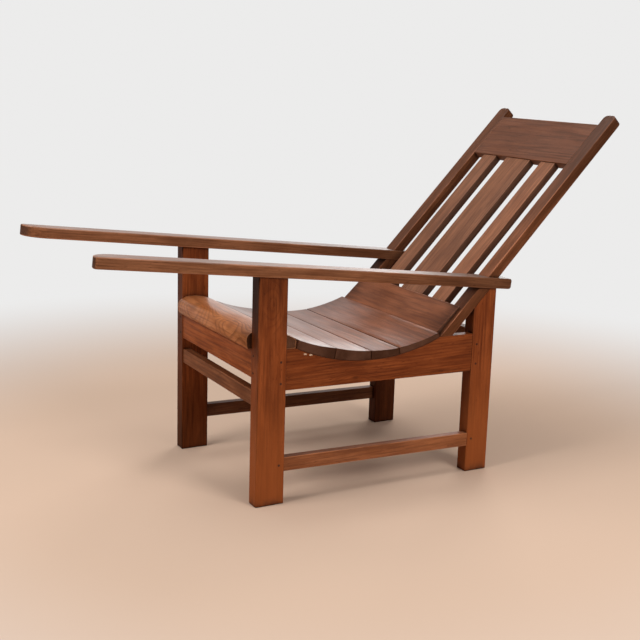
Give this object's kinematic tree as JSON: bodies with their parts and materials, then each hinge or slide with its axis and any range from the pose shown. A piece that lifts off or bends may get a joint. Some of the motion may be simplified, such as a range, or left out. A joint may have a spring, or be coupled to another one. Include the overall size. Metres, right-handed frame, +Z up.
{
  "type": "teak lounge chair",
  "caption": "Plantation lounge chair in teak: raked slat back, hollowed slat seat with a rounded front roll, and long board arms that reach far out in front as leg rests.",
  "frame": {"origin": "on the floor, under the middle of the chair's bounding box", "axes": "+Z up, -Y towards the sitter's feet and the arms' front ends, +X to the sitter's left"},
  "size_m": [0.583, 1.6523, 1.0408],
  "materials": {
    "teak": "satin oiled",
    "teak_pegs": "matt"
  },
  "bodies": {
    "root": {"arm_left": "teak", "arm_right": "teak", "back_slat_centre": "teak", "back_slat_left": "teak", "back_slat_right": "teak", "back_stile_left": "teak", "back_stile_right": "teak", "crest_rail": "teak", "front_post_left": "teak", "front_post_right": "teak", "front_rail": "teak", "front_stretcher": "teak", "hidden_dowels": "teak", "joint_pegs": "teak_pegs", "lower_back_rail": "teak", "rear_post_left": "teak", "rear_post_right": "teak", "rear_rail": "teak", "seat_front_roll": "teak", "seat_slat_fourth": "teak", "seat_slat_front": "teak", "seat_slat_rear": "teak", "seat_slat_second": "teak", "seat_slat_third": "teak", "side_rail_left": "teak", "side_rail_right": "teak", "side_stretcher_left": "teak", "side_stretcher_right": "teak"}
  },
  "joints": []
}
